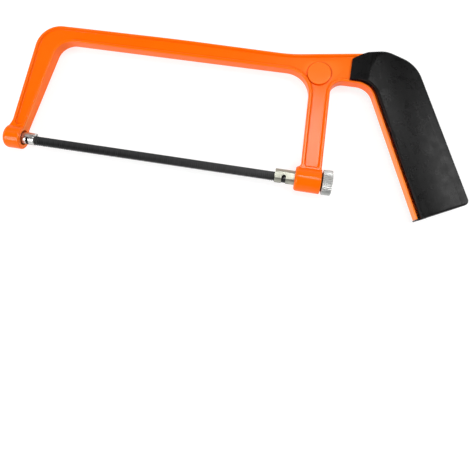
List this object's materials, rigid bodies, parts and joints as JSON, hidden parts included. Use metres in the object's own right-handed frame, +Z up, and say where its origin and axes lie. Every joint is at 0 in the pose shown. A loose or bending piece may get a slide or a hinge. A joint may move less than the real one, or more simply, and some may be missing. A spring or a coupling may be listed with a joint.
{
  "type": "junior hacksaw",
  "caption": "Small bow hacksaw lying on its side: cast frame with a pistol handle and soft grip, pinned blade, fixed front anchor, sliding rear bar and knurled tension nut.",
  "frame": {"origin": "middle of the footprint of the saw lying on its side, on the surface it rests on", "axes": "+X along the blade from the front boss to the handle, +Y from the blade to the spine, +Z up through the thickness of the saw"},
  "size_m": [0.2534, 0.0894, 0.015],
  "materials": {
    "casting_paint": "glossy orange powder coat on an aluminium die casting",
    "grip_rubber": "matt black soft grip with a fine grain",
    "holder_plating": "bright plated steel with fine turning marks",
    "nut_plating": "nickel plated steel, straight knurled",
    "washer_steel": "dark zinc plated steel",
    "pin_steel": "dark hardened steel",
    "blade_steel": "blackened carbon steel, satin"
  },
  "bodies": {
    "frame": {"frame_casting": "casting_paint", "handle_grip": "grip_rubber", "front_anchor": "holder_plating", "anchor_spring_pin": "pin_steel", "thrust_washer": "washer_steel"},
    "nut": {"thumb_nut": "nut_plating"},
    "bar": {"tension_bar": "holder_plating"},
    "blade": {"blade": "blade_steel", "blade_pin_front": "pin_steel", "blade_pin_rear": "pin_steel"}
  },
  "joints": [
    {"name": "bar_slide", "type": "slide", "parent": "frame", "child": "bar", "axis": [-1, 0, 0], "range_m": [0, 0.0008]},
    {"name": "nut_turn", "type": "hinge", "parent": "frame", "child": "nut", "pos_m": [0.0555, -0.0312, 0.0075], "axis": [1, 0, 0], "range_deg": [0, 360]},
    {"name": "blade_swing", "type": "hinge", "parent": "frame", "child": "blade", "pos_m": [-0.1133, -0.032, 0.0075], "axis": [0, 0, -1], "range_deg": [0, 25]}
  ],
  "couplings": [
    {"joint": "nut_turn", "follows": "bar_slide", "rad_per_m": 7853.9}
  ]
}
